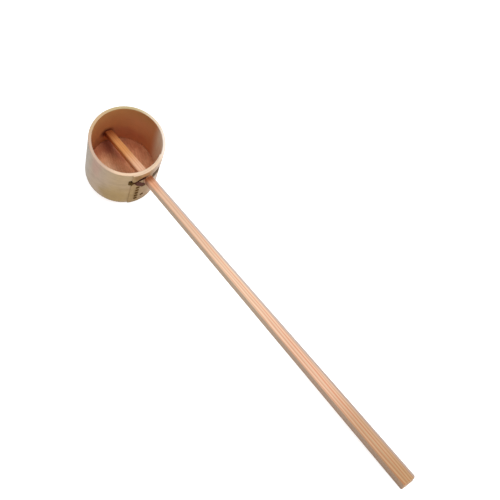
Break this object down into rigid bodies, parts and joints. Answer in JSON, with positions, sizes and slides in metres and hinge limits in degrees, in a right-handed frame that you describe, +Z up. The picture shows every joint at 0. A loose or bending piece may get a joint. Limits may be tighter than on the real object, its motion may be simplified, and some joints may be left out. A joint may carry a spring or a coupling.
{
  "type": "water dipper",
  "caption": "Bent cedar hishaku water dipper: a lapped hoop laced with cherry bark, a bottom disc and a slanted square handle through the cup.",
  "frame": {"origin": "centre of the bounding box in plan, on the table that the dipper lies on", "axes": "+X along the handle towards its outer end, +Z up from the table, +Y to the left of a person who looks along +X; the cup leans towards +X as it does when the dipper is laid down"},
  "size_m": [0.4851, 0.0783, 0.102],
  "materials": {
    "cedar_hoop": "planed, unfinished",
    "cedar_bottom": "planed, unfinished",
    "cedar_handle": "planed, unfinished",
    "bamboo": "split and shaved",
    "cherry_bark": "dull"
  },
  "bodies": {
    "root": {"side_hoop": "cedar_hoop", "bottom_disc": "cedar_bottom", "handle": "cedar_handle", "tip_peg": "bamboo", "seam_lacing": "cherry_bark", "left_tie": "cherry_bark", "right_tie": "cherry_bark"}
  },
  "joints": []
}
